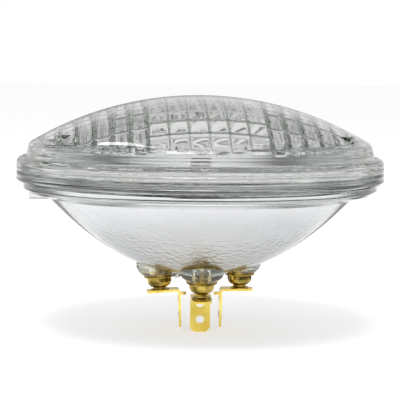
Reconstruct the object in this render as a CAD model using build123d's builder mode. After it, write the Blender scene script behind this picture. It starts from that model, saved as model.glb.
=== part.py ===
from build123d import *
import os
from math import asin, ceil, cos, degrees, radians, sin, sqrt, tan

# Round sealed beam headlamp of the 146 mm size, with two filaments and three blade terminals.
# Millimetres. +Z is the optical axis, out of the lens, and z = 0 is the back of the rim, where it seats.
# -Y is the top of the lamp as it sits in a car, where the centre terminal is.

# Rim, where the lens and the reflector are fused
rim_radius = 73.0
rim_front = 10.1
rim_edge_fillet = 2.8
seam_height = 4.3
seam_groove = 0.45
rim_back_chamfer = 1.1
rim_wall = 9.8

# Lens
shoulder_height = 15.27
dome_radius = 131.0
lens_wall = 4.0
flute_clearance = 0.5
rim_ledge = 3.8
shoulder_flare = 1.2
shoulder_fillet = 3.0

# Optics pressed into the inside of the lens: a middle block of prisms, with deeper flutes each side of it
centre_half_width = 21.5
centre_columns = 6
centre_flute_depth = 0.4
centre_line_angle = -24.4
centre_row_angle = 5.0
centre_rows = 12
prism_shift = 7.0
side_pitch = 6.4
side_flute_depth = 1.0
side_step = 0.3
side_line_angles = [-20.4, -14.3, -8.2, 8.2, 14.3, 20.4]
tall_line_angles = [-20.4, -8.2, 8.2, 20.4]
short_columns = 2

# Aiming pads on the face of the lens
pad_inset = 6.0
pad_radius = 3.4
pad_rise = 0.8
pad_angles = [-150, -30, 90]

# Reflector
focal_length = 28.6
reflector_wall = 2.7
seat_width = 2.7
spigot_depth = 2.4
spigot_lip = 2.1
spigot_lip_drop = 1.5
mirror_ledge = 0.7
mirror_edge_drop = 0.955
bowl_edge_inset = 2.0
lug_angles = [60, 120, 180]
lug_width = 8.0
lug_setback = 2.3
lug_depth = 7.0
lug_length = 8.0

# Ferrules: one for each terminal, standing on glass bosses
ferrule_circle = 16.2
boss_inset = 0.8
left_boss_drop = 1.0
right_boss_drop = 0.0
centre_boss_drop = 1.3
boss_end_radius = 5.95
boss_waist_radius = 8.1
boss_waist_height = 2.0
boss_root_radius = 8.8
boss_root_height = 3.9
boss_reach = 9.0
bore_radius = 2.6
skirt_radius = 5.1
skirt_wall = 0.45
skirt_reach = 1.8
bead_radius = 6.1
bead_height = 0.7
cup_radius = 4.85
cup_straight = 1.7
cup_end_radius = 3.5
cup_height = 3.6
cup_wall = 0.5

# Eyelets, which hold each terminal to its ferrule
eyelet_top_radius = 3.0
eyelet_waist_radius = 2.6
eyelet_foot_radius = 3.8
left_eyelet_height = 1.4
right_eyelet_height = 1.7
centre_eyelet_height = 2.6
eyelet_flange = 0.5
shank_radius = 2.0
head_radius = 2.9
head_height = 0.35

# Terminals
blade_width = 8.0
blade_thickness = 0.9
blade_drop = 15.6
blade_offset = 7.6
foot_reach = 5.4
foot_corner = 3.0
bend_radius = 0.5
tip_chamfer = 1.6
blade_hole_radius = 1.65
blade_hole_height = 5.0
tab_width = 3.3
tab_length = 2.9
tab_drop = 0.9

# Lead-in posts, insulator and filaments
post_radius = 1.0
post_rise = 7.0
post_bend_radius = 2.5
post_straight_drop = 13.5
leg_radius = 0.3
coil_radius = 0.8
high_coil_length = 6.0
low_coil_length = 5.0
low_beam_offset = 3.0
side_post_spacing = 6.0
centre_post_offset = 6.5
leg_spacing = 0.65
bridge_drop = 6.5
bridge_thickness = 3.0
bridge_margin = 2.6
shield_radius = 4.5
shield_height = 3.0
shield_wall = 0.35
shield_gap = 2.3
support_radius = 0.5

# Exhaust tip
exhaust_circle = 10.9
exhaust_angle = 211
exhaust_tube_radius = 1.6
exhaust_bore_radius = 0.9
exhaust_boss_radius = 2.1
exhaust_boss_drop = 0.5
exhaust_tip_length = 1.0

# Clearances
glass_clearance = 0.05
fit_clearance = 0.05

# Each terminal: the way it faces, its boss drop, its lean, its eyelet height and how far its blade splays
sites = {
    "left": (180, left_boss_drop, 4.3, left_eyelet_height, 2.3),
    "right": (0, right_boss_drop, 0.0, right_eyelet_height, -1.0),
    "centre": (-90, centre_boss_drop, 6.4, centre_eyelet_height, 0.0),
}

# What follows from the sizes above
inside_radius = rim_radius - rim_wall
dome_foot_radius = rim_radius - rim_ledge
shoulder_radius = dome_foot_radius - shoulder_flare
dome_height = shoulder_height + dome_radius - sqrt(dome_radius**2 - shoulder_radius**2)
pad_circle_radius = shoulder_radius - pad_inset
spigot_radius = rim_radius - seat_width
lug_outer_radius = spigot_radius - lug_setback
mirror_radius = inside_radius - mirror_ledge
bowl_edge_radius = mirror_radius - bowl_edge_inset
bowl_depth = mirror_radius**2 / (4 * focal_length) + mirror_edge_drop + reflector_wall
boss_end = bowl_depth - boss_inset


def dome_z(radius, depth=0.0):
    """Height of the dome at a radius, or of the surface that lies depth below it."""
    return dome_height - dome_radius + sqrt((dome_radius - depth) ** 2 - radius**2)


def bowl_z(radius):
    """Height of the outside of the reflector's bowl."""
    return radius**2 / (4 * focal_length + reflector_wall / 2) - bowl_depth


def mirror_z(radius):
    """Height of the mirror, the inside of the bowl, which is a paraboloid."""
    return radius**2 / (4 * focal_length) - bowl_depth + reflector_wall


focus_height = mirror_z(0) + focal_length
leg_height = focus_height
post_top = leg_height - leg_radius
post_straight_from = focus_height - post_straight_drop
bridge_top = focus_height - bridge_drop


def axis_plane(angle, drop, lean):
    """Plane across a terminal's own axis: its x points out of the lamp's middle, its z up into the lamp."""
    outward = Vector(cos(radians(angle)), sin(radians(angle)), 0)
    up = Vector(0, 0, 1)
    return Plane(
        origin=outward * ferrule_circle - up * (boss_end + drop),
        x_dir=outward * cos(radians(lean)) - up * sin(radians(lean)),
        z_dir=up * cos(radians(lean)) + outward * sin(radians(lean)),
    )


def section_plane(across):
    """Plane along a terminal's axis, with x out of the lamp's middle and y up into the lamp."""
    return Plane(origin=across.origin, x_dir=across.x_dir, z_dir=-across.y_dir)


across_planes = {side: axis_plane(*place[:3]) for side, place in sites.items()}
foot_levels = {side: -cup_height - bead_height - place[3] for side, place in sites.items()}


# Optics: flutes that follow the dome, in rows that step like prisms, as solids to be cut from the lens
def fluted_row(x_start, x_end, columns, depth, angle_from, angle_to, rise, shift):
    """One row of flutes, turned about a line across the lens, between two angles from the lens's axis."""
    half_span = radians(angle_to - angle_from) / 2
    middle = radians(angle_to + angle_from) / 2
    offset = shift / cos(half_span)
    centre = (0, offset * cos(middle), dome_height - dome_radius - offset * sin(middle))
    end = radians(angle_to)
    start_plane = Plane(origin=centre, x_dir=(1, 0, 0), z_dir=(0, -cos(end), sin(end)))
    flute_radius = dome_radius - lens_wall + rise
    pitch = (x_end - x_start) / columns
    widest = max(abs(x_start), abs(x_end))
    floor = sqrt(flute_radius**2 - widest**2) - lens_wall
    with BuildPart() as row:
        with BuildSketch(start_plane):
            with BuildLine():
                for column in range(columns):
                    left = x_start + column * pitch
                    middle_x = left + pitch / 2
                    right = left + pitch
                    ThreePointArc(
                        (left, sqrt(flute_radius**2 - left**2)),
                        (middle_x, sqrt(flute_radius**2 - middle_x**2) - depth),
                        (right, sqrt(flute_radius**2 - right**2)),
                    )
                Polyline(
                    (x_end, sqrt(flute_radius**2 - x_end**2)),
                    (x_end, floor),
                    (x_start, floor),
                    (x_start, sqrt(flute_radius**2 - x_start**2)),
                )
            make_face()
        revolve(axis=Axis(centre, (1, 0, 0)), revolution_arc=angle_to - angle_from)
    return row.part


# The rows reach past the inside wall, where they are trimmed
block_reach = degrees(asin((inside_radius + lens_wall) / (dome_radius - lens_wall)))
prism_turn = degrees(asin(prism_shift / (dome_radius - lens_wall)))
side_columns = ceil((inside_radius - centre_half_width) / side_pitch)


def centre_block():
    """The middle block, whose rows each tilt like a prism."""
    lines = [centre_line_angle + row * centre_row_angle for row in range(centre_rows - 1)]
    edges = [angle - prism_turn for angle in (-block_reach, *lines, block_reach + prism_turn)]
    start, end = -centre_half_width, centre_half_width
    return [
        fluted_row(start, end, centre_columns, centre_flute_depth, near, far, 0, prism_shift)
        for near, far in zip(edges, edges[1:])
    ]


def side_block(x_start, columns, line_angles):
    """A block of deeper flutes, whose rows step back into the glass towards the middle one."""
    edges = (-block_reach, *line_angles, block_reach)
    x_end = x_start + columns * side_pitch
    rises = [side_step * min(row, len(line_angles) - row) for row in range(len(line_angles) + 1)]
    return [
        fluted_row(x_start, x_end, columns, side_flute_depth, near, far, rise, 0)
        for near, far, rise in zip(edges, edges[1:], rises)
    ]


# Cavity: all that the inside of the lens leaves out
plain_depth = lens_wall + side_flute_depth + flute_clearance
tall_columns = side_columns - short_columns
with BuildPart() as cavity:
    with Locations((0, 0, dome_height - dome_radius)):
        Sphere(dome_radius - plain_depth)
    add(centre_block())
    add(side_block(centre_half_width, side_columns, side_line_angles))
    add(side_block(-centre_half_width - short_columns * side_pitch, short_columns, side_line_angles))
    add(side_block(-centre_half_width - side_columns * side_pitch, tall_columns, tall_line_angles))
    with BuildSketch():
        Circle(inside_radius)
    extrude(amount=dome_height, mode=Mode.INTERSECT)


# Lens
with BuildPart() as lens:
    with BuildSketch(Plane.XZ):
        with BuildLine():
            ThreePointArc(
                (0, dome_z(0)),
                (shoulder_radius / 2, dome_z(shoulder_radius / 2)),
                (shoulder_radius, dome_z(shoulder_radius)),
            )
            Polyline(
                (shoulder_radius, dome_z(shoulder_radius)),
                (dome_foot_radius, rim_front),
                (rim_radius, rim_front),
                (rim_radius, seam_height + seam_groove),
                (rim_radius - seam_groove, seam_height),
                (0, seam_height),
                (0, dome_z(0)),
            )
        outline = make_face()
        shoulder = outline.vertices().sort_by_distance((shoulder_radius, dome_z(shoulder_radius)))[0]
        fillet(shoulder, shoulder_fillet)
        rim_edge = outline.vertices().sort_by_distance((rim_radius, rim_front))[0]
        fillet(rim_edge, rim_edge_fillet)
    revolve(axis=Axis.Z)
    for angle in pad_angles:
        pad_x = pad_circle_radius * cos(radians(angle))
        pad_y = pad_circle_radius * sin(radians(angle))
        with BuildSketch(Plane.XY.offset(seam_height + lens_wall)):
            with Locations((pad_x, pad_y)):
                Circle(pad_radius)
        extrude(amount=dome_z(pad_circle_radius) + pad_rise - seam_height - lens_wall)
    add(cavity.part, mode=Mode.SUBTRACT)
lens.part.label = "lens"


exhaust_place = (exhaust_circle * cos(radians(exhaust_angle)), exhaust_circle * sin(radians(exhaust_angle)))
exhaust_end = bowl_z(exhaust_circle) - exhaust_boss_drop


# Reflector
with BuildPart() as reflector:
    with BuildSketch(Plane.XZ):
        with BuildLine():
            bowl_edge = (bowl_edge_radius, bowl_z(bowl_edge_radius))
            Bezier((0, bowl_z(0)), (bowl_edge_radius / 2, bowl_z(0)), bowl_edge)
            Polyline(
                bowl_edge,
                (spigot_radius - spigot_lip, -spigot_depth - spigot_lip_drop),
                (spigot_radius, -spigot_depth),
                (spigot_radius, 0),
                (rim_radius - rim_back_chamfer, 0),
                (rim_radius, rim_back_chamfer),
                (rim_radius, seam_height - seam_groove),
                (rim_radius - seam_groove, seam_height),
                (0, seam_height),
                (0, bowl_z(0)),
            )
        make_face()
    revolve(axis=Axis.Z)
    for across in across_planes.values():
        with BuildSketch(section_plane(across)):
            with BuildLine():
                Polyline(
                    (0, 0),
                    (boss_end_radius, 0),
                    (boss_waist_radius, boss_waist_height),
                    (boss_root_radius, boss_root_height),
                    (boss_root_radius, boss_reach),
                    (0, boss_reach),
                    close=True,
                )
            make_face()
        revolve(axis=Axis(across.origin, across.z_dir))
    for angle in lug_angles:
        outward = (cos(radians(angle)), sin(radians(angle)), 0)
        with BuildSketch(Plane(origin=(0, 0, -lug_depth), x_dir=outward)):
            with Locations((lug_outer_radius - lug_length / 2, 0)):
                Rectangle(lug_length, lug_width)
        extrude(amount=lug_depth)
    with BuildSketch(Plane.XY.offset(exhaust_end)):
        with Locations(exhaust_place):
            Circle(exhaust_boss_radius)
    extrude(amount=exhaust_boss_drop + reflector_wall)
    with BuildSketch(Plane.XZ):
        with BuildLine():
            mirror_edge = (mirror_radius, mirror_z(mirror_radius))
            Bezier((0, mirror_z(0)), (mirror_radius / 2, mirror_z(0)), mirror_edge)
            Polyline(
                mirror_edge,
                (inside_radius, mirror_z(mirror_radius)),
                (inside_radius, seam_height),
                (0, seam_height),
                (0, mirror_z(0)),
            )
        make_face()
    revolve(axis=Axis.Z, mode=Mode.SUBTRACT)
    for across in across_planes.values():
        with BuildSketch(across):
            Circle(bore_radius)
        extrude(amount=boss_reach, mode=Mode.SUBTRACT)
        with BuildSketch(across):
            Circle(skirt_radius + glass_clearance)
            Circle(skirt_radius - skirt_wall - glass_clearance, mode=Mode.SUBTRACT)
        extrude(amount=skirt_reach + glass_clearance, mode=Mode.SUBTRACT)
    with BuildSketch(Plane.XY.offset(exhaust_end)):
        with Locations(exhaust_place):
            Circle(exhaust_bore_radius)
    extrude(amount=exhaust_boss_drop + 3 * reflector_wall, mode=Mode.SUBTRACT)
reflector.part.label = "reflector"


# Exhaust tip: the stub of tube left when the lamp was sealed off, closed by a rounded end
with BuildPart() as exhaust_tip:
    tip_axis = Axis((*exhaust_place, exhaust_end), (0, 0, 1))
    with BuildSketch(Plane(origin=tip_axis.position, x_dir=(1, 0, 0), z_dir=(0, -1, 0))):
        with BuildLine():
            Line((exhaust_bore_radius, 0), (exhaust_tube_radius, 0))
            EllipticalCenterArc(
                (0, 0), exhaust_tube_radius, exhaust_tip_length, start_angle=-90, arc_size=90
            )
            Line((0, -exhaust_tip_length), (0, -exhaust_tip_length / 2))
            Line((0, -exhaust_tip_length / 2), (exhaust_bore_radius, 0))
        make_face()
    revolve(axis=tip_axis)
exhaust_tip.part.label = "exhaust_tip"


# Ferrule: a closed metal thimble whose skirt is sealed into the glass of the boss
def make_ferrule(across):
    """A ferrule on its boss."""
    with BuildPart() as ferrule:
        with BuildSketch(section_plane(across)):
            with BuildLine():
                Polyline(
                    (skirt_radius - skirt_wall, skirt_reach),
                    (skirt_radius, skirt_reach),
                    (skirt_radius, 0),
                    (bead_radius - bead_height / 2, 0),
                )
                RadiusArc(
                    (bead_radius - bead_height / 2, 0),
                    (bead_radius - bead_height / 2, -bead_height),
                    bead_height / 2,
                )
                Polyline(
                    (bead_radius - bead_height / 2, -bead_height),
                    (cup_radius, -bead_height),
                    (cup_radius, -bead_height - cup_straight),
                )
                ThreePointArc(
                    (cup_radius, -bead_height - cup_straight),
                    (
                        (cup_radius + cup_end_radius) / 2 + cup_wall / 2,
                        -bead_height - (cup_straight + cup_height) / 2 - cup_wall / 4,
                    ),
                    (cup_end_radius, -bead_height - cup_height),
                )
                Polyline(
                    (cup_end_radius, -bead_height - cup_height),
                    (0, -bead_height - cup_height),
                    (0, -bead_height - cup_height + cup_wall),
                    (cup_end_radius - cup_wall, -bead_height - cup_height + cup_wall),
                    (cup_radius - cup_wall, -bead_height - cup_straight),
                    (cup_radius - cup_wall, 0),
                    (skirt_radius - skirt_wall, 0),
                    (skirt_radius - skirt_wall, skirt_reach),
                )
            make_face()
        revolve(axis=Axis(across.origin, across.z_dir))
    return ferrule.part


# Eyelet: waisted, with its foot on the terminal, its shank through it and its head riveted below
def make_eyelet(across, foot_level):
    """An eyelet between a ferrule and its terminal."""
    top = -bead_height - cup_height
    under_foot = foot_level - blade_thickness
    with BuildPart() as eyelet:
        with BuildSketch(section_plane(across)):
            with BuildLine():
                Line((0, top), (eyelet_top_radius, top))
                ThreePointArc(
                    (eyelet_top_radius, top),
                    (eyelet_waist_radius, top - (top - foot_level) * 0.4),
                    (eyelet_foot_radius - eyelet_flange / 2, foot_level + eyelet_flange),
                )
                Polyline(
                    (eyelet_foot_radius - eyelet_flange / 2, foot_level + eyelet_flange),
                    (eyelet_foot_radius, foot_level + eyelet_flange / 2),
                    (eyelet_foot_radius, foot_level),
                    (shank_radius, foot_level),
                    (shank_radius, under_foot),
                    (head_radius, under_foot),
                )
                EllipticalCenterArc((0, under_foot), head_radius, head_height, start_angle=-90, arc_size=90)
                Line((0, under_foot - head_height), (0, top))
            make_face()
        revolve(axis=Axis(across.origin, across.z_dir))
    return eyelet.part


# Terminal: a strip bent at a right angle, with a lanced tab, a hole and a chamfered tip
def make_terminal(across, foot_level, splay):
    """A terminal hung under its ferrule, its blade towards the lamp's middle and splayed by a few degrees."""
    section = section_plane(across)
    outer_bend = bend_radius + blade_thickness
    back = -blade_offset - blade_thickness / 2
    front = -blade_offset + blade_thickness / 2
    tip_shift = blade_drop * tan(radians(splay))
    tip_level = foot_level - blade_drop
    with BuildPart() as terminal:
        with BuildSketch(section.offset(-blade_width / 2)):
            with BuildLine():
                FilletPolyline(
                    (foot_reach, foot_level),
                    (back, foot_level),
                    (back + tip_shift, tip_level),
                    radius=outer_bend,
                )
                Line((back + tip_shift, tip_level), (front + tip_shift, tip_level))
                FilletPolyline(
                    (front + tip_shift, tip_level),
                    (front + tip_shift * blade_thickness / blade_drop, foot_level - blade_thickness),
                    (foot_reach, foot_level - blade_thickness),
                    radius=bend_radius,
                )
                Line((foot_reach, foot_level - blade_thickness), (foot_reach, foot_level))
            make_face()
        extrude(amount=blade_width)
        corners = terminal.edges().filter_by(Axis(across.origin, across.z_dir))
        fillet(corners.sort_by(Axis(across.origin, across.x_dir))[-2:], foot_corner)
        thin_edges = terminal.edges().filter_by(Axis(across.origin, across.x_dir))
        chamfer(thin_edges.sort_by(Axis(across.origin, across.z_dir))[:2], tip_chamfer)
        with BuildSketch(across):
            Circle(shank_radius + fit_clearance)
        extrude(amount=foot_level - blade_thickness, mode=Mode.SUBTRACT)
        blade_face = Plane(
            origin=across.from_local_coords((front, 0, foot_level)),
            x_dir=across.y_dir,
            z_dir=across.x_dir * cos(radians(splay)) + across.z_dir * sin(radians(splay)),
        )
        tab_top = -blade_thickness - tab_drop
        window_top = tab_top - blade_thickness
        with BuildSketch(blade_face):
            with Locations((0, blade_hole_height - blade_drop)):
                Circle(blade_hole_radius)
            with Locations((0, window_top - (tab_length - tab_width / 2) / 2)):
                Rectangle(tab_width, tab_length - tab_width / 2)
            with Locations((0, window_top - tab_length + tab_width / 2)):
                Circle(tab_width / 2)
        extrude(amount=-blade_thickness, mode=Mode.SUBTRACT)
        with BuildSketch(across.offset(foot_level + window_top)):
            with Locations((-blade_offset - (tab_length - tab_width / 2) / 2, 0)):
                Rectangle(tab_length - tab_width / 2, tab_width)
            with Locations((-blade_offset - tab_length + tab_width / 2, 0)):
                Circle(tab_width / 2)
        extrude(amount=blade_thickness)
    return terminal.part


ferrules = {side: make_ferrule(across) for side, across in across_planes.items()}
eyelets = {side: make_eyelet(across, foot_levels[side]) for side, across in across_planes.items()}
terminals = {
    side: make_terminal(across, foot_levels[side], sites[side][4]) for side, across in across_planes.items()
}


# Lead-in posts: each stands in its ferrule, leans in above the mirror and ends upright beside the filaments
post_ends = {
    "left": (-side_post_spacing, 0),
    "right": (side_post_spacing, 0),
    "centre": (0, -centre_post_offset),
}


def make_post(across, end):
    """A lead-in post from the floor of its ferrule to the filaments."""
    seat_height = -bead_height - cup_height + cup_wall
    foot = across.from_local_coords((0, 0, seat_height))
    knee = across.from_local_coords((0, 0, post_rise))
    with BuildPart() as post:
        with BuildLine() as route:
            FilletPolyline(
                foot,
                knee,
                (*end, post_straight_from),
                (*end, post_top),
                radius=post_bend_radius,
            )
        with BuildSketch(Plane(origin=foot, z_dir=across.z_dir)):
            Circle(post_radius)
        sweep(path=route.wires()[0])
    return post.part


posts = {side: make_post(across_planes[side], end) for side, end in post_ends.items()}


# Insulator bridge: a ceramic plate with a hole for each post
with BuildPart() as insulator_bridge:
    with BuildSketch(Plane.XY.offset(bridge_top - bridge_thickness)):
        bar_length = 2 * (side_post_spacing + bridge_margin)
        stem_length = centre_post_offset + post_radius + 2 * support_radius + bridge_margin
        Rectangle(bar_length, 2 * bridge_margin)
        with Locations((0, -stem_length / 2)):
            Rectangle(2 * bridge_margin, stem_length)
        with Locations(*post_ends.values()):
            Circle(post_radius + fit_clearance, mode=Mode.SUBTRACT)
    extrude(amount=bridge_thickness)
    upright_edges = insulator_bridge.edges().filter_by(Axis.Z).filter_by(GeomType.LINE)
    fillet(upright_edges.group_by(Axis.X)[0] + upright_edges.group_by(Axis.X)[-1], bridge_margin / 4)
insulator_bridge.part.label = "insulator_bridge"


# Filaments: a coil of wire drawn as its outer form, with two legs that are welded to the tops of the posts
def make_filament(centre_y, coil_length, left_leg, right_leg):
    """A filament across the lamp, with the routes of its two legs."""
    with BuildPart() as filament:
        with BuildSketch(Plane(origin=(-coil_length / 2, centre_y, leg_height), z_dir=(1, 0, 0))):
            Circle(coil_radius)
        extrude(amount=coil_length)
        for leg in (left_leg, right_leg):
            with BuildLine() as route:
                Polyline(*[(x, y, leg_height) for x, y in leg])
            start = Vector(leg[0][0], leg[0][1], leg_height)
            onward = Vector(leg[1][0], leg[1][1], leg_height) - start
            with BuildSketch(Plane(origin=start, z_dir=onward)):
                Circle(leg_radius)
            sweep(path=route.wires()[0], transition=Transition.ROUND)
    return filament.part


high_beam_filament = make_filament(
    0,
    high_coil_length,
    [(-high_coil_length / 2 + leg_radius, 0), (-side_post_spacing - post_radius / 2, 0)],
    [(high_coil_length / 2 - leg_radius, 0), (side_post_spacing + post_radius / 2, 0)],
)
low_end = low_coil_length / 2
low_beam_filament = make_filament(
    -low_beam_offset,
    low_coil_length,
    [
        (-low_end + leg_radius, -low_beam_offset),
        (-low_end - coil_radius, -low_beam_offset),
        (-side_post_spacing, -leg_spacing),
    ],
    [
        (low_end - leg_radius, -low_beam_offset),
        (low_end + coil_radius, -low_beam_offset),
        (0, -centre_post_offset),
    ],
)


# Filament shield: a metal cap in front of the low beam filament
shield_bottom = leg_height + shield_gap
shield_y = -centre_post_offset - post_radius + shield_radius
with BuildPart() as filament_shield:
    with BuildSketch(Plane(origin=(0, shield_y, shield_bottom), x_dir=(1, 0, 0), z_dir=(0, -1, 0))):
        with BuildLine():
            Polyline(
                (shield_radius - shield_wall, 0),
                (shield_radius, 0),
                (shield_radius, shield_height - 3 * shield_wall),
                (shield_radius - 3 * shield_wall, shield_height),
                (0, shield_height),
                (0, shield_height - shield_wall),
                (shield_radius - 3.4 * shield_wall, shield_height - shield_wall),
                (shield_radius - shield_wall, shield_height - 3.4 * shield_wall),
                close=True,
            )
        make_face()
    revolve(axis=Axis((0, shield_y, 0), (0, 0, 1)))
filament_shield.part.label = "filament_shield"


# Shield support: a wire that stands on the bridge behind the centre post and is welded to the shield's side
support_y = shield_y - shield_radius - support_radius - fit_clearance
with BuildPart() as shield_support:
    with BuildSketch(Plane.XY.offset(bridge_top)):
        with Locations((0, support_y)):
            Circle(support_radius)
    extrude(amount=shield_bottom + shield_height / 2 - bridge_top)
shield_support.part.label = "shield_support"


pieces = {
    "lens": lens.part,
    "reflector": reflector.part,
    "exhaust_tip": exhaust_tip.part,
    "insulator_bridge": insulator_bridge.part,
    "high_beam_filament": high_beam_filament,
    "low_beam_filament": low_beam_filament,
    "filament_shield": filament_shield.part,
    "shield_support": shield_support.part,
}
for side in sites:
    pieces[side + "_ferrule"] = ferrules[side]
    pieces[side + "_eyelet"] = eyelets[side]
    pieces[side + "_terminal"] = terminals[side]
    pieces[side + "_post"] = posts[side]

os.makedirs("parts", exist_ok=True)
for name, piece in pieces.items():
    piece.label = name
    export_step(piece, f"parts/{name}.step")
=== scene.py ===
from math import asin, atan2, cos, pi, radians, sin, sqrt

import bmesh
import bpy
from mathutils import Matrix, Vector


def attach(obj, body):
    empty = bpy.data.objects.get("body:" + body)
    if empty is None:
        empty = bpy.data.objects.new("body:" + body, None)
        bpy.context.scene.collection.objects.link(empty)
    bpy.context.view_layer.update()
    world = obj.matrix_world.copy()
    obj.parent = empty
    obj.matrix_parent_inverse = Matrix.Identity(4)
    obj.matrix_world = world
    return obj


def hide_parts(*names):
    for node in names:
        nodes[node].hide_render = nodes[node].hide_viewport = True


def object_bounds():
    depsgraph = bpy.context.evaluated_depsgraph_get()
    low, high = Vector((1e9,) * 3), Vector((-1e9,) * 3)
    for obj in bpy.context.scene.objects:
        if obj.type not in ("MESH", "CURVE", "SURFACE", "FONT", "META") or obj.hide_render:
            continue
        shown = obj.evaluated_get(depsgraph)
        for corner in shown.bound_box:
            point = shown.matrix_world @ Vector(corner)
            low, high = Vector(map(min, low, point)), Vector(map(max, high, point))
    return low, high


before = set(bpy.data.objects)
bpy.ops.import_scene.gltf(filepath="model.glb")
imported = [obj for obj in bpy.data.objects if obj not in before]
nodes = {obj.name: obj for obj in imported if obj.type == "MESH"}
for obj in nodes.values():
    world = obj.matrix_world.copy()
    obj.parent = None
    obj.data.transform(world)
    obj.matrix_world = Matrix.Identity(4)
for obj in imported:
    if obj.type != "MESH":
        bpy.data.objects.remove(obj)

# Sealed beam headlamp. Lengths below are millimetres, as in the part's source, and mm turns them into
# metres. +Z is the optical axis, z = 0 is the back of the rim, and the camera looks from -Y.
mm = 0.001

cad_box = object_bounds()
sides = ("left", "right", "centre")

# Lens, outside
dome_height = 34.3
dome_radius = 131.0
shoulder_radius = 68.0
shoulder_fillet = 3.0
dome_foot_radius = 69.2
rim_front = 10.1
rim_radius = 73.0
rim_fillet = 2.8
seam_height = 4.3
seam_groove = 0.45
seam_gap = 0.01
pad_circle_radius = 62.0
pad_radius = 3.4
pad_rise = 0.8
pad_depth = 4.0
pad_segments = 96
pad_angles = (-150, -30, 90)

# Lens, inside
flute_radius = 127.0
inside_radius = 63.2
centre_half_width = 21.5
centre_columns = 6
centre_flute_depth = 0.25
centre_flute_power = 2
centre_line_angle = -24.4
centre_row_angle = 5.0
centre_rows = 12
block_reach = 32.0
prism_shift = 7.0
side_pitch = 6.4
side_columns = 7
side_flute_depth = 0.9
side_flute_power = 4
side_step = 0.3
side_line_angles = (-20.4, -14.3, -8.2, 8.2, 14.3, 20.4)
tall_line_angles = (-20.4, -8.2, 8.2, 20.4)
short_columns = 2

# How softly the pressed ridges, steps and edge are rounded, and the fine groove along each of their lines
ridge_round = 0.35
step_width = 0.35
edge_round = 1.1
groove_half = 0.35
groove_depth = 0.2

# How finely the lens is sampled, and how near its samples come to the edge of the optics
column_spacing = 0.8
column_margin = 0.2
edge_margin = 0.05
steps_at_line = 6
steps_between_rows = 5
edge_steps = 6
rim_steps = 8
shoulder_steps = 6
dome_rings = 40

# Samples nearer than the first share of a fine step are merged, and gaps over the second are filled
merge_share = 0.4
fill_share = 1.5
tiny = 1e-6

# Edges that turn by more than this angle are creases
sharp_angle = 30

edge_slope = asin(inside_radius / flute_radius)
optics_radius = inside_radius - edge_round * (1 - sin(edge_slope))

# Relief of the rim that is left to its material, which fades in over a range of radii
bead_heights = (1.1, 3.2, 5.5, 7.9)
bead_half = 1.15
bead_relief = 0.6
streak_height = 0.9
relief_radii = (66.0, 70.0)

# Reflector
focal_length = 28.6
mirror_depth = 35.1
mirror_radius = 62.5
mirror_edge = -0.955
mirror_margin = 0.2
ripple_heights = (-14.0, -34.0)
face_margin = 0.1

# Bosses: the direction, the drop and the lean of each, the part of its end that the ferrule's metal
# covers, and where the glass is painted golden towards it, a painted reflection of the ferrule's brass
boss_circle = 16.2
boss_end = 37.0
bosses = ((180, 1.0, 4.3), (0, 0.0, 0.0), (-90, 1.3, 6.4))
seal_radius = 5.9
seal_height = 1.85
painted_gold_heights = (-34.0, -36.5)
painted_gold_radii = (12.0, 16.0)

# Filaments
focus_height = -6.5
coil_radius = 0.8
coil_wire_radius = 0.13
wire_sides = 8
coil_steps = 20
high_coil_length = 6.0
high_coil_turns = 13
low_coil_length = 5.0
low_coil_turns = 11
leg_wire_radius = 0.15
leg_lead = 0.8
leg_overlap = 0.5
shared_leg_end = 0.4
side_post_spacing = 6.0
centre_post_offset = 6.5
low_beam_offset = 3.0
leg_spacing = 0.65

# Camera, fitted to the photograph
camera_distance = 600.0
camera_yaw = 3.5
camera_height = 43.5
camera_pitch = 4.87
camera_roll = 0.53
camera_focal = 135.27
sensor_width = 36.0

# Floor: its half width, and the range of distances over which its reflection goes from a painted glow to
# painted dark
floor_half = 12000.0
floor_near = (140.0, 180.0)
floor_near_stretch = (1.0, 1.15, 0)
floor_behind = (100.0, 300.0)
floor_white = 0.85
floor_glow = 0.5

# The even light that all but metal and glass get, and the sockets of a node that mixes two colours
even_light = 0.55
mix_share = 0
mix_first = 6
mix_second = 7
mix_result = 2


def smooth_step(t):
    """0 before t = 0 and 1 after t = 1, with a soft turn at both ends."""
    t = min(max(t, 0.0), 1.0)
    return t * t * (3 - 2 * t)


# Materials


def new_material(name):
    """A node material, with its tree, its shader and its output."""
    material = bpy.data.materials.new(name)
    material.use_nodes = True
    tree = material.node_tree
    return material, tree, tree.nodes["Principled BSDF"], tree.nodes["Material Output"]


def add_node(tree, kind, **values):
    """A node with some of its inputs or settings given by name."""
    node = tree.nodes.new(kind)
    for name, value in values.items():
        label = name.replace("_", " ")
        if label in node.inputs:
            node.inputs[label].default_value = value
        else:
            setattr(node, name, value)
    return node


def object_noise(tree, scale, detail=4.0, stretch=(1, 1, 1)):
    """Noise in the object's own frame, with scale in repeats a metre."""
    coordinates = tree.nodes.new("ShaderNodeTexCoord")
    mapping = tree.nodes.new("ShaderNodeMapping")
    mapping.inputs["Scale"].default_value = stretch
    noise = add_node(tree, "ShaderNodeTexNoise", Scale=scale, Detail=detail)
    tree.links.new(coordinates.outputs["Object"], mapping.inputs["Vector"])
    tree.links.new(mapping.outputs["Vector"], noise.inputs["Vector"])
    return noise.outputs["Fac"]


def object_place(tree, axis):
    """A coordinate in the object's own frame, in metres."""
    coordinates = tree.nodes.new("ShaderNodeTexCoord")
    parts = tree.nodes.new("ShaderNodeSeparateXYZ")
    tree.links.new(coordinates.outputs["Object"], parts.inputs["Vector"])
    return parts.outputs[axis]


def mapped(tree, source, start, end, low=0.0, high=1.0):
    """A value that goes from low to high as the source goes from start to end."""
    node = add_node(tree, "ShaderNodeMapRange", From_Min=start, From_Max=end, To_Min=low, To_Max=high)
    tree.links.new(source, node.inputs["Value"])
    return node.outputs["Result"]


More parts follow.
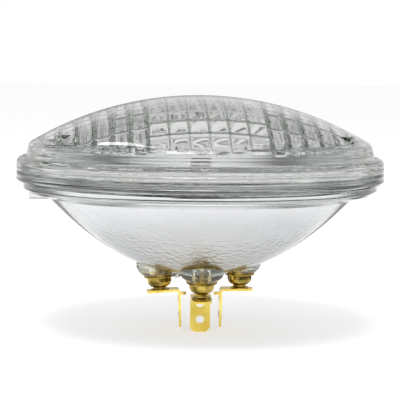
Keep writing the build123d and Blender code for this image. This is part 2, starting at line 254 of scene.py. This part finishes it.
def maths(tree, operation, first, second):
    """A calculation on two values, each a socket or a number."""
    node = add_node(tree, "ShaderNodeMath", operation=operation)
    for place, value in enumerate((first, second)):
        if isinstance(value, float):
            node.inputs[place].default_value = value
        else:
            tree.links.new(value, node.inputs[place])
    return node.outputs["Value"]


def ramp(tree, source, stops):
    """A colour ramp, with its stops as (place, colour)."""
    node = tree.nodes.new("ShaderNodeValToRGB")
    elements = node.color_ramp.elements
    while len(elements) < len(stops):
        elements.new(0.5)
    for element, (place, colour) in zip(elements, stops):
        element.position = place
        element.color = (*colour, 1.0)
    tree.links.new(source, node.inputs["Fac"])
    return node.outputs["Color"]


def grey(value):
    """A grey, as a colour."""
    return (value, value, value)


def bump(tree, shader, height, distance):
    """Relief on a shader, distance metres high."""
    node = add_node(tree, "ShaderNodeBump", Distance=distance)
    tree.links.new(height, node.inputs["Height"])
    tree.links.new(node.outputs["Normal"], shader.inputs["Normal"])


def axis_distance(tree, stretch=(1, 1, 0)):
    """Distance from the axis in the object's own frame, in metres, with x and y stretched."""
    coordinates = tree.nodes.new("ShaderNodeTexCoord")
    flat = tree.nodes.new("ShaderNodeMapping")
    flat.inputs["Scale"].default_value = stretch
    tree.links.new(coordinates.outputs["Object"], flat.inputs["Vector"])
    radius = add_node(tree, "ShaderNodeVectorMath", operation="LENGTH")
    tree.links.new(flat.outputs["Vector"], radius.inputs[0])
    return radius.outputs["Value"]


def rim_relief(tree):
    """The rim's relief in metres: pressed beads, with fine streaks round them."""
    height = object_place(tree, "Z")
    beads = 0.0
    for bead_height in bead_heights:
        above_middle = maths(tree, "SUBTRACT", height, bead_height * mm)
        squared = maths(tree, "POWER", maths(tree, "DIVIDE", above_middle, bead_half * mm), 2.0)
        beads = maths(tree, "MAXIMUM", beads, maths(tree, "SUBTRACT", 1.0, squared))
    streaks = object_noise(tree, 1, detail=1.0, stretch=(8, 8, 560))
    pressed = maths(tree, "MULTIPLY", beads, bead_relief * mm)
    relief = maths(tree, "ADD", pressed, maths(tree, "MULTIPLY", streaks, streak_height * mm))
    inner, outer = relief_radii
    return maths(tree, "MULTIPLY", relief, mapped(tree, axis_distance(tree), inner * mm, outer * mm))


def glass(name, tint, density, wave_scale, wave_height):
    """Pressed soda glass: clear, faintly wavy, tinted where it is thick, and painted golden by the ferrules,
    a painted reflection of their brass.
    """
    material, tree, shader, output = new_material(name)
    # The base colour turns from white to gold low down and far out by the ferrules: a painted reflection of
    # their brass
    start, end = painted_gold_heights
    low_down = mapped(tree, object_place(tree, "Z"), start * mm, end * mm)
    start, end = painted_gold_radii
    far_out = mapped(tree, axis_distance(tree), start * mm, end * mm)
    painted_gold_share = maths(tree, "MULTIPLY", low_down, far_out)
    colour = ramp(tree, painted_gold_share, ((0.0, grey(1.0)), (1.0, painted_gold_tint)))
    tree.links.new(colour, shader.inputs["Base Color"])
    shader.inputs["Transmission Weight"].default_value = 1.0
    shader.inputs["IOR"].default_value = 1.51
    roughness = ramp(tree, object_noise(tree, 60), ((0.3, grey(0.0)), (0.8, grey(0.03))))
    tree.links.new(roughness, shader.inputs["Roughness"])
    waves = add_node(tree, "ShaderNodeBump", Distance=wave_height)
    tree.links.new(object_noise(tree, wave_scale, detail=1.0), waves.inputs["Height"])
    rim = add_node(tree, "ShaderNodeBump", Distance=1.0)
    tree.links.new(rim_relief(tree), rim.inputs["Height"])
    tree.links.new(waves.outputs["Normal"], rim.inputs["Normal"])
    tree.links.new(rim.outputs["Normal"], shader.inputs["Normal"])
    absorption = add_node(tree, "ShaderNodeVolumeAbsorption", Color=(*tint, 1.0), Density=density)
    tree.links.new(absorption.outputs["Volume"], output.inputs["Volume"])
    return material


def mirror_film():
    """Aluminium film on the inside of the bowl, which ripples with the pressed glass under it."""
    material, tree, shader, _ = new_material("aluminium_film")
    shader.inputs["Metallic"].default_value = 1.0
    colour = ramp(tree, object_noise(tree, 25), ((0.3, (0.79, 0.80, 0.82)), (0.75, (0.85, 0.86, 0.88))))
    tree.links.new(colour, shader.inputs["Base Color"])
    roughness = ramp(tree, object_noise(tree, 90), ((0.3, grey(0.12)), (0.75, grey(0.2))))
    tree.links.new(roughness, shader.inputs["Roughness"])
    ripples = object_noise(tree, 1, detail=3.0, stretch=(450, 450, 900))
    start, end = ripple_heights
    deeper = mapped(tree, object_place(tree, "Z"), start * mm, end * mm, 0.15, 1.0)
    bump(tree, shader, maths(tree, "MULTIPLY", ripples, deeper), 0.00025)
    return material


def metal(name, light, dark, roughness, scale, bump_height):
    """Sheet or wire metal, with a colour that drifts and a surface that is not quite even."""
    material, tree, shader, _ = new_material(name)
    shader.inputs["Metallic"].default_value = 1.0
    colour = ramp(tree, object_noise(tree, scale), ((0.3, dark), (0.7, light)))
    tree.links.new(colour, shader.inputs["Base Color"])
    polish = ((0.25, grey(roughness * 0.7)), (0.8, grey(roughness * 1.4)))
    tree.links.new(ramp(tree, object_noise(tree, scale * 3), polish), shader.inputs["Roughness"])
    bump(tree, shader, object_noise(tree, scale * 5, detail=6.0), bump_height)
    return material


def ceramic():
    """Steatite, off white and matt."""
    material, tree, shader, _ = new_material("steatite")
    colour = ramp(tree, object_noise(tree, 900), ((0.3, (0.74, 0.72, 0.66)), (0.7, (0.84, 0.82, 0.77))))
    tree.links.new(colour, shader.inputs["Base Color"])
    shader.inputs["Roughness"].default_value = 0.6
    bump(tree, shader, object_noise(tree, 2500), 0.00002)
    return material


glass_tint = (0.80, 0.86, 0.78)
glass_density = 13.0
# Gold painted into the glass by the ferrules, a painted reflection of their brass
painted_gold_tint = (0.86, 0.68, 0.28)
lens_glass = glass("pressed_lens_glass", glass_tint, glass_density, 45, 0.00006)
bowl_glass = glass("pressed_bowl_glass", glass_tint, glass_density, 60, 0.00006)
film = mirror_film()
brass = metal("bright_brass", (0.97, 0.77, 0.18), (0.76, 0.55, 0.09), 0.10, 120, 0.00002)
# This brass drifts at random from brass colour down to nearly black: the dark end is painted dark
# reflection, not a colour of the brass
sealed_brass_with_painted_dark = metal("sealed_brass_with_painted_dark", (0.85, 0.62, 0.15), (0.09, 0.06, 0.01), 0.08, 230, 0.00003)
wire = metal("nickel_wire", (0.72, 0.70, 0.66), (0.56, 0.54, 0.50), 0.28, 200, 0.00001)
shield_metal = metal("shield_sheet", (0.60, 0.59, 0.58), (0.44, 0.43, 0.42), 0.32, 150, 0.00001)
tungsten = metal("tungsten_wire", (0.42, 0.41, 0.40), (0.28, 0.27, 0.26), 0.35, 500, 0.000005)
steatite = ceramic()


# Meshes


def mesh_object(name, verts, faces, material):
    """A closed mesh from points in millimetres, with outward normals and creases only at its sharp edges."""
    mesh = bpy.data.meshes.new(name)
    mesh.from_pydata([[c * mm for c in v] for v in verts], [], faces)
    work = bmesh.new()
    work.from_mesh(mesh)
    bmesh.ops.recalc_face_normals(work, faces=work.faces)
    work.to_mesh(mesh)
    work.free()
    mesh.shade_smooth()
    mesh.set_sharp_from_angle(angle=radians(sharp_angle))
    mesh.materials.append(material)
    obj = bpy.data.objects.new(name, mesh)
    bpy.context.scene.collection.objects.link(obj)
    return obj


# Lens: the inside is worked out as the distance from the dome's centre along a ray at an angle from the axis


def groove(distance):
    """Depth of the fine groove that the mould leaves along a line, at a distance from it."""
    place = min(abs(distance) / groove_half, 1.0)
    return groove_depth * (1 - place * place) ** 2


def flute_offset(x, start, pitch, depth, power):
    """What a flute adds to the distance at x, with its ridges rounded. A higher power is a flatter top."""
    along = (x - start) / pitch
    place = (along - int(along // 1) - 0.5) * 2
    from_ridge = (1 - abs(place)) * pitch / 2
    height = depth * (1 - abs(place) ** power)
    if from_ridge < ridge_round:
        edge = 1 - 2 * ridge_round / pitch
        slope = 2 * power * depth * edge ** (power - 1) / pitch
        height = depth * (1 - edge**power) - slope * (ridge_round**2 - from_ridge**2) / (2 * ridge_round)
    return groove(from_ridge) - height


def curve_radius(x, rise):
    """Radius of the plain curve of a row, turned about a line across the lens, at x."""
    return sqrt((flute_radius + rise) ** 2 - x * x)


def centre_lines(x):
    """Angles, seen from the dome's centre, at which the rows of the middle block meet."""
    turn = (asin(prism_shift / curve_radius(x, 0)) - asin(prism_shift / flute_radius)) * 180 / pi
    return [centre_line_angle + row * centre_row_angle + turn for row in range(centre_rows - 1)]


def stepped(angle, lines, reach_of_row):
    """Distance for a block whose rows meet at lines, each step softened over its own width."""
    half = step_width / 2 / flute_radius * 180 / pi
    cut = groove(min(abs(angle - line) for line in lines) / 180 * pi * flute_radius)
    row = 0
    while row < len(lines) and angle > lines[row] + half:
        row += 1
    if row < len(lines) and angle > lines[row] - half:
        t = smooth_step((angle - lines[row] + half) / (2 * half))
        return reach_of_row(row) * (1 - t) + reach_of_row(row + 1) * t + cut
    return reach_of_row(row) + cut


def centre_reach(x, angle):
    """Distance to the middle block's prisms."""
    inside = min(max(x, -centre_half_width), centre_half_width - tiny)
    pitch = 2 * centre_half_width / centre_columns
    flute = flute_offset(inside, -centre_half_width, pitch, centre_flute_depth, centre_flute_power)
    radius = curve_radius(inside, 0) + flute
    edges = [-block_reach, *centre_lines(0), block_reach]

    def reach_of_row(row):
        middle = radians((edges[row] + edges[row + 1]) / 2) - asin(prism_shift / flute_radius)
        offset = prism_shift / cos(radians((edges[row + 1] - edges[row]) / 2))
        across = offset * cos(radians(angle) - middle)
        return offset * sin(radians(angle) - middle) + sqrt(radius * radius - across * across)

    return stepped(angle, centre_lines(inside), reach_of_row)


def side_reach(x, angle):
    """Distance to the side blocks' flutes, which are tall on the outer columns of the left block."""
    inside = max(abs(x), centre_half_width)
    flute = flute_offset(inside, centre_half_width, side_pitch, side_flute_depth, side_flute_power)
    tall = smooth_step((-centre_half_width - short_columns * side_pitch - x) / step_width + 0.5)

    reach = 0.0
    for share, lines in ((1 - tall, side_line_angles), (tall, tall_line_angles)):
        if share > 0:
            reach += share * stepped(
                angle, lines, lambda row: curve_radius(x, side_step * min(row, len(lines) - row)) + flute,
            )
    return reach


def inner_reach(x, angle):
    """Distance to the inside of the lens, with the blocks blended where they meet."""
    t = smooth_step((abs(x) - centre_half_width) / step_width + 0.5)
    reach = 0.0
    if t < 1:
        reach += (1 - t) * centre_reach(x, angle)
    if t > 0:
        reach += t * side_reach(x, angle)
    return reach


def spread(marks, width, fine, between):
    """Sample places: fine ones over a width at each mark, and even ones of about between elsewhere."""
    places = set()
    for mark in marks:
        for step in range(fine + 1):
            places.add(round(mark + (step / fine - 0.5) * width, 6))
    kept = sorted(places)
    result = [kept[0]]
    for a, b in zip(kept, kept[1:]):
        if b - a < width / fine * merge_share:
            continue
        parts = max(1, round((b - a) / between)) if b - a > width / fine * fill_share else 1
        result += [a + (b - a) * k / parts for k in range(1, parts + 1)]
    return result


def x_lines():
    """Places across the lens at which its inside is sampled."""
    centre_pitch = 2 * centre_half_width / centre_columns
    marks = [-centre_half_width + k * centre_pitch for k in range(centre_columns + 1)]
    for k in range(1, side_columns + 1):
        marks += [centre_half_width + k * side_pitch, -centre_half_width - k * side_pitch]
    places = spread(sorted(marks), 2 * ridge_round, steps_at_line, column_spacing)
    lines = [x for x in places if abs(x) < optics_radius - column_margin]
    ends = [optics_radius * cos(radians(a)) for a in (0, 1, 2, 3, 4)]
    return sorted(set(lines + ends + [-x for x in ends]))


def angle_marks(x):
    """Angles along the lens at which its rows start and end at x."""
    near = min(max(x, -centre_half_width), centre_half_width)
    return [-block_reach, *centre_lines(near), *side_line_angles, block_reach]


def angle_samples(x):
    """Sample angles, the same number at each x: fine ones at each step and even ones between."""
    marks = angle_marks(x)
    order = sorted(range(len(marks)), key=lambda k: angle_marks(0)[k])
    width = 2 * groove_half / flute_radius * 180 / pi
    samples = []
    for index, mark in enumerate(order):
        place = marks[mark]
        samples += [place + (step / steps_at_line - 0.5) * width for step in range(steps_at_line + 1)]
        if index + 1 < len(order):
            a = place + width / 2
            b = marks[order[index + 1]] - width / 2
            samples += [a + (b - a) * k / steps_between_rows for k in range(1, steps_between_rows)]
    return sorted(samples)


def dome_z(radius):
    """Height of the dome at a distance from the axis."""
    return dome_height - dome_radius + sqrt(dome_radius**2 - radius**2)


def outer_profile():
    """The lens's section from the edge of the optics out, round the rim and over the dome to its top."""
    points = [(inside_radius, seam_height + seam_gap)]
    points += [(rim_radius - seam_groove, seam_height + seam_gap), (rim_radius, seam_height + seam_groove)]
    points += [(rim_radius, seam_height + 2 * seam_groove)]
    for k in range(rim_steps + 1):
        turn = radians(90 * k / rim_steps)
        radius = rim_radius - rim_fillet + rim_fillet * cos(turn)
        points.append((radius, rim_front - rim_fillet + rim_fillet * sin(turn)))
    points.append((dome_foot_radius, rim_front))
    # The shoulder is a fillet between the foot's cone and the dome
    shoulder = Vector((shoulder_radius, dome_z(shoulder_radius)))
    foot = Vector((dome_foot_radius, rim_front))
    down = (foot - shoulder).normalized()
    slope = -shoulder_radius / (shoulder.y - dome_height + dome_radius)
    up = Vector((-1, -slope)).normalized()
    half = down.angle(up) / 2
    reach = shoulder_fillet / sin(half) * cos(half)
    middle = shoulder + (down + up).normalized() * shoulder_fillet / sin(half)
    start = shoulder + down * reach - middle
    end = shoulder + up * reach - middle
    first = atan2(start.y, start.x)
    last = atan2(end.y, end.x)
    for k in range(shoulder_steps + 1):
        turn = first + (last - first) * k / shoulder_steps
        points.append((middle.x + shoulder_fillet * cos(turn), middle.y + shoulder_fillet * sin(turn)))
    edge = points[-1][0]
    for k in range(1, dome_rings):
        radius = edge * (1 - k / dome_rings)
        points.append((radius, dome_z(radius)))
    return points, dome_z(0)


def lens_mesh():
    """The whole lens as one closed mesh."""
    verts = []
    faces = []
    columns = []
    low_edge = []
    high_edge = []
    centre_z = dome_height - dome_radius
    for x in x_lines():
        reach_y = sqrt(max(optics_radius**2 - x * x, 0.0))

        def edge_vertex(sign):
            angle = asin(sign * reach_y / flute_radius) * 180 / pi
            verts.append((x, sign * reach_y, centre_z + inner_reach(x, angle) * cos(radians(angle))))
            return len(verts) - 1

        low = edge_vertex(-1)
        high = edge_vertex(1) if reach_y > tiny else low
        low_edge.append(low)
        high_edge.append(high)
        column = []
        for angle in angle_samples(x):
            reach = inner_reach(x, angle)
            y = reach * sin(radians(angle))
            if y <= -reach_y + edge_margin:
                column.append(low)
            elif y >= reach_y - edge_margin:
                column.append(high)
            else:
                verts.append((x, y, centre_z + reach * cos(radians(angle))))
                column.append(len(verts) - 1)
        columns.append([low] + column + [high])
    for a, b in zip(columns, columns[1:]):
        for k in range(len(a) - 1):
            corners = list(dict.fromkeys((a[k], a[k + 1], b[k + 1], b[k])))
            if len(corners) > 2:
                faces.append(corners)
    ring = low_edge + high_edge[-2:0:-1]
    turns = [atan2(verts[v][1], verts[v][0]) for v in ring]
    heights = [verts[v][2] for v in ring]
    profile, apex = outer_profile()
    # From the edge of the optics the surface turns down and goes on along the outer profile, ring by ring
    rings = []
    for k in range(1, edge_steps + 1):
        t = edge_slope + (pi / 2 - edge_slope) * k / edge_steps
        radius = inside_radius - edge_round * (1 - sin(t))
        drop = edge_round * (cos(edge_slope) - cos(t))
        rings.append((radius, [height - drop for height in heights]))
    rings += [(radius, [z] * len(turns)) for radius, z in profile]
    for radius, levels in rings:
        start = len(verts)
        verts += [(radius * cos(turn), radius * sin(turn), z) for turn, z in zip(turns, levels)]
        new_ring = list(range(start, start + len(turns)))
        for k in range(len(ring)):
            following = (k + 1) % len(ring)
            faces.append((ring[k], ring[following], new_ring[following], new_ring[k]))
        ring = new_ring
    verts.append((0, 0, apex))
    for k in range(len(ring)):
        faces.append((ring[k], ring[(k + 1) % len(ring)], len(verts) - 1))
    return verts, faces


def make_lens():
    """The lens, with its aiming pads joined to its face."""
    verts, faces = lens_mesh()
    lens = mesh_object("pressed_lens", verts, faces, lens_glass)
    for angle in pad_angles:
        x = pad_circle_radius * cos(radians(angle))
        y = pad_circle_radius * sin(radians(angle))
        middle = Vector((x, y, dome_z(pad_circle_radius) + pad_rise - pad_depth / 2))
        work = bmesh.new()
        bmesh.ops.create_cone(
            work, cap_ends=True, segments=pad_segments, radius1=pad_radius * mm, radius2=pad_radius * mm,
            depth=pad_depth * mm, matrix=Matrix.Translation(middle * mm),
        )
        pad_mesh = bpy.data.meshes.new("pad")
        work.to_mesh(pad_mesh)
        work.free()
        pad = bpy.data.objects.new("pad", pad_mesh)
        bpy.context.scene.collection.objects.link(pad)
        join = lens.modifiers.new("join", "BOOLEAN")
        join.operation = "UNION"
        join.solver = "EXACT"
        join.object = pad
        bpy.context.view_layer.objects.active = lens
        bpy.ops.object.modifier_apply(modifier=join.name)
        bpy.data.objects.remove(pad)
    lens.data.shade_smooth()
    lens.data.set_sharp_from_angle(angle=radians(sharp_angle))
    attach(lens, "root")
    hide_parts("lens")


def on_seal(place):
    """Whether a place in millimetres lies where the glass of a boss is sealed to its ferrule."""
    for facing, drop, lean in bosses:
        outward = Vector((cos(radians(facing)), sin(radians(facing)), 0))
        origin = outward * boss_circle - Vector((0, 0, boss_end + drop))
        axis = Vector((0, 0, cos(radians(lean)))) + outward * sin(radians(lean))
        height = (place - origin).dot(axis)
        if abs(height - seal_height / 2) < seal_height / 2 + face_margin:
            if (place - origin - axis * height).length < seal_radius:
                return True
    return False


def make_reflector():
    """The reflector: clear glass, with film in its bowl and brass where the ferrules are sealed to it."""
    source = nodes["reflector"]
    bowl = bpy.data.objects.new("silvered_bowl", source.data.copy())
    bpy.context.scene.collection.objects.link(bowl)
    bowl.data.materials.clear()
    bowl.data.materials.append(bowl_glass)
    bowl.data.materials.append(film)
    bowl.data.materials.append(sealed_brass_with_painted_dark)
    for face in bowl.data.polygons:
        place = face.center / mm
        radius = sqrt(place.x**2 + place.y**2)
        on_curve = abs(radius**2 / (4 * focal_length) - mirror_depth - place.z) < mirror_margin
        on_mirror = on_curve and radius < mirror_radius + face_margin
        by_edge = mirror_edge - face_margin < place.z < seam_height - face_margin
        on_wall = by_edge and radius < inside_radius + face_margin
        if on_seal(place):
            face.material_index = 2
        elif on_mirror or on_wall:
            face.material_index = 1
        else:
            face.material_index = 0
    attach(bowl, "root")
    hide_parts("reflector")


# Filaments


def tube(path, radius):
    """Points and faces of a tube along a path, closed at both ends."""
    verts = []
    faces = []
    count = len(path)
    normal = None
    for k, point in enumerate(path):
        tangent = (path[min(k + 1, count - 1)] - path[max(k - 1, 0)]).normalized()
        if normal is None:
            normal = tangent.orthogonal().normalized()
        normal = (normal - tangent * normal.dot(tangent)).normalized()
        other = tangent.cross(normal)
        for side in range(wire_sides):
            turn = 2 * pi * side / wire_sides
            verts.append(point + (normal * cos(turn) + other * sin(turn)) * radius)
    for k in range(count - 1):
        for side in range(wire_sides):
            a = k * wire_sides + side
            b = k * wire_sides + (side + 1) % wire_sides
            faces.append((a, b, b + wire_sides, a + wire_sides))
    faces.append(tuple(range(wire_sides))[::-1])
    faces.append(tuple((count - 1) * wire_sides + side for side in range(wire_sides)))
    return verts, faces


def make_filament(name, node, centre_y, coil_length, left_leg, right_leg, turns):
    """A coil of wire across the lamp, with a leg at each end."""
    steps = turns * coil_steps
    ahead = coil_radius - coil_wire_radius
    coil = []
    for k in range(steps + 1):
        turn = 2 * pi * k / coil_steps
        x = -coil_length / 2 + coil_wire_radius + (coil_length - 2 * coil_wire_radius) * k / steps
        coil.append(Vector((x, centre_y + ahead * sin(turn), focus_height - ahead * cos(turn))))
    verts = []
    faces = []
    pieces = [(coil, coil_wire_radius)]
    for leg, end in ((left_leg, coil[0]), (right_leg, coil[-1])):
        pieces.append(([end] + [Vector((x, y, focus_height)) for x, y in leg], leg_wire_radius))
    for path, radius in pieces:
        new_verts, new_faces = tube(path, radius)
        faces += [[v + len(verts) for v in face] for face in new_faces]
        verts += new_verts
    filament = mesh_object(name, verts, faces, tungsten)
    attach(filament, "root")
    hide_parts(node)


make_lens()
make_reflector()
high_leg_start = high_coil_length / 2 + leg_lead
low_leg_start = low_coil_length / 2 + leg_lead
make_filament(
    "high_beam_coil", "high_beam_filament", 0, high_coil_length,
    [(-high_leg_start, 0), (-side_post_spacing - leg_overlap, 0)],
    [(high_leg_start, 0), (side_post_spacing + leg_overlap, 0)], high_coil_turns,
)
make_filament(
    "low_beam_coil", "low_beam_filament", -low_beam_offset, low_coil_length,
    [(-low_leg_start, -low_beam_offset), (-side_post_spacing, -leg_spacing)],
    [(low_leg_start, -low_beam_offset), (shared_leg_end, -centre_post_offset)], low_coil_turns,
)


def paint(node, material):
    """Give a CAD node its material."""
    node.data.materials[0] = material


for side in sides:
    paint(nodes[side + "_ferrule"], sealed_brass_with_painted_dark)
    paint(nodes[side + "_eyelet"], sealed_brass_with_painted_dark)
    paint(nodes[side + "_terminal"], brass)
    paint(nodes[side + "_post"], wire)
paint(nodes["exhaust_tip"], bowl_glass)
paint(nodes["insulator_bridge"], steatite)
paint(nodes["filament_shield"], shield_metal)
paint(nodes["shield_support"], wire)


# Studio


def make_world():
    """White for the camera, pale and dark regions for metal and glass, and an even light for the rest."""
    world = bpy.data.worlds.new("studio")
    bpy.context.scene.world = world
    world.use_nodes = True
    tree = world.node_tree
    background = tree.nodes["Background"]
    rays = tree.nodes.new("ShaderNodeLightPath")
    coordinates = tree.nodes.new("ShaderNodeTexCoord")
    parts = tree.nodes.new("ShaderNodeSeparateXYZ")
    tree.links.new(coordinates.outputs["Generated"], parts.inputs["Vector"])

    # Metal and glass see a pale band behind, which fades upwards, and a pale ceiling to the front
    band = ramp(
        tree, mapped(tree, parts.outputs["Y"], -1.0, 1.0),
        (
            (0.42, grey(0.02)), (0.53, grey(0.05)), (0.61, grey(0.80)), (0.78, grey(0.95)),
            (0.90, grey(0.70)), (0.985, grey(0.80)), (1.0, grey(0.30)),
        ),
    )
    behind = maths(tree, "MULTIPLY", band, mapped(tree, parts.outputs["Z"], 0.3, 0.6, 1.0, 0.15))
    in_front = maths(
        tree, "MULTIPLY",
        mapped(tree, parts.outputs["Z"], 0.02, 0.08), mapped(tree, parts.outputs["Y"], -0.1, 0.3, 0.95, 0.0),
    )
    sky = maths(tree, "MAXIMUM", behind, in_front)
    seen = maths(tree, "MAXIMUM", rays.outputs["Is Glossy Ray"], rays.outputs["Is Transmission Ray"])
    lit = add_node(tree, "ShaderNodeMix", data_type="RGBA")
    lit.inputs[mix_first].default_value = (*grey(even_light), 1.0)
    tree.links.new(seen, lit.inputs[mix_share])
    tree.links.new(sky, lit.inputs[mix_second])
    shown = add_node(tree, "ShaderNodeMix", data_type="RGBA")
    shown.inputs[mix_second].default_value = (*grey(1.0), 1.0)
    tree.links.new(rays.outputs["Is Camera Ray"], shown.inputs[mix_share])
    tree.links.new(lit.outputs[mix_result], shown.inputs[mix_first])
    tree.links.new(shown.outputs[mix_result], background.inputs["Color"])


def make_floor():
    """A pale floor under the terminals, which keeps the shadow and reflects as pale only near the lamp: for
    metal and glass it glows there, a painted pool of light, and is painted dark further off.
    """
    half = floor_half * mm
    level = cad_box[0][2]
    mesh = bpy.data.meshes.new("floor")
    corners = [(-half, -half, level), (half, -half, level), (half, half, level), (-half, half, level)]
    mesh.from_pydata(corners, [], [(0, 1, 2, 3)])
    floor = bpy.data.objects.new("floor", mesh)
    bpy.context.scene.collection.objects.link(floor)
    material, tree, shader, _ = new_material("pale_floor")
    shader.inputs["Roughness"].default_value = 0.9
    shader.inputs["Specular IOR Level"].default_value = 0.0
    rays = tree.nodes.new("ShaderNodeLightPath")
    # For metal and glass rays the floor glows near the lamp, a painted pool of light, and further off its
    # colour and glow go to black, painted dark
    reflected = maths(tree, "MAXIMUM", rays.outputs["Is Glossy Ray"], rays.outputs["Is Transmission Ray"])
    start, end = floor_behind
    behind = mapped(tree, object_place(tree, "Y"), start * mm, end * mm, 0.0, 0.8)
    start, end = floor_near
    around = mapped(tree, axis_distance(tree, floor_near_stretch), start * mm, end * mm, 1.0, 0.03)
    near = maths(tree, "MAXIMUM", around, behind)
    hidden = maths(tree, "MULTIPLY", reflected, maths(tree, "SUBTRACT", 1.0, near))
    shade = maths(tree, "SUBTRACT", 1.0, hidden)
    colour = ramp(tree, shade, ((0.0, grey(0.0)), (1.0, grey(floor_white))))
    tree.links.new(colour, shader.inputs["Base Color"])
    glow = maths(tree, "MULTIPLY", maths(tree, "MULTIPLY", reflected, near), floor_glow)
    shown = maths(tree, "MULTIPLY", rays.outputs["Is Camera Ray"], floor_glow)
    shader.inputs["Emission Color"].default_value = (*grey(1.0), 1.0)
    tree.links.new(maths(tree, "ADD", glow, shown), shader.inputs["Emission Strength"])
    mesh.materials.append(material)


def make_lamp(name, place, along, width, height, power):
    """A soft lamp that faces the headlamp, its width along a direction. It doesn't show through glass."""
    data = bpy.data.lights.new(name, "AREA")
    data.shape = "RECTANGLE"
    data.size = width
    data.size_y = height
    data.energy = power
    lamp = bpy.data.objects.new(name, data)
    back = Vector(place).normalized()
    across = (Vector(along) - back * back.dot(Vector(along))).normalized()
    turn = Matrix((across, back.cross(across), back)).transposed()
    lamp.matrix_world = Matrix.Translation(place) @ turn.to_4x4()
    lamp.visible_transmission = False
    bpy.context.scene.collection.objects.link(lamp)


def make_camera():
    """A camera at the photograph's view, a little above the lens and tipped down to it."""
    data = bpy.data.cameras.new("camera")
    data.lens = camera_focal
    data.sensor_width = sensor_width
    camera = bpy.data.objects.new("camera", data)
    yaw = radians(camera_yaw)
    place = Vector((-camera_distance * sin(yaw), -camera_distance * cos(yaw), camera_height)) * mm
    turn = Matrix.Rotation(-yaw, 4, "Z") @ Matrix.Rotation(radians(90 - camera_pitch), 4, "X")
    camera.matrix_world = Matrix.Translation(place) @ turn @ Matrix.Rotation(radians(camera_roll), 4, "Z")
    bpy.context.scene.collection.objects.link(camera)
    bpy.context.scene.camera = camera


make_world()
make_floor()
make_lamp("overhead", (-0.1, -0.45, 1.1), (1, 0, 0), 0.5, 0.5, 7.0)
make_lamp("strip", (-0.28, 0.67, 1.06), (-0.213, 0.276, -0.3), 0.46, 0.03, 0.25)
make_camera()

scene = bpy.context.scene
scene.view_settings.view_transform = "Standard"
scene.cycles.max_bounces = 24
scene.cycles.transmission_bounces = 24
scene.cycles.glossy_bounces = 12
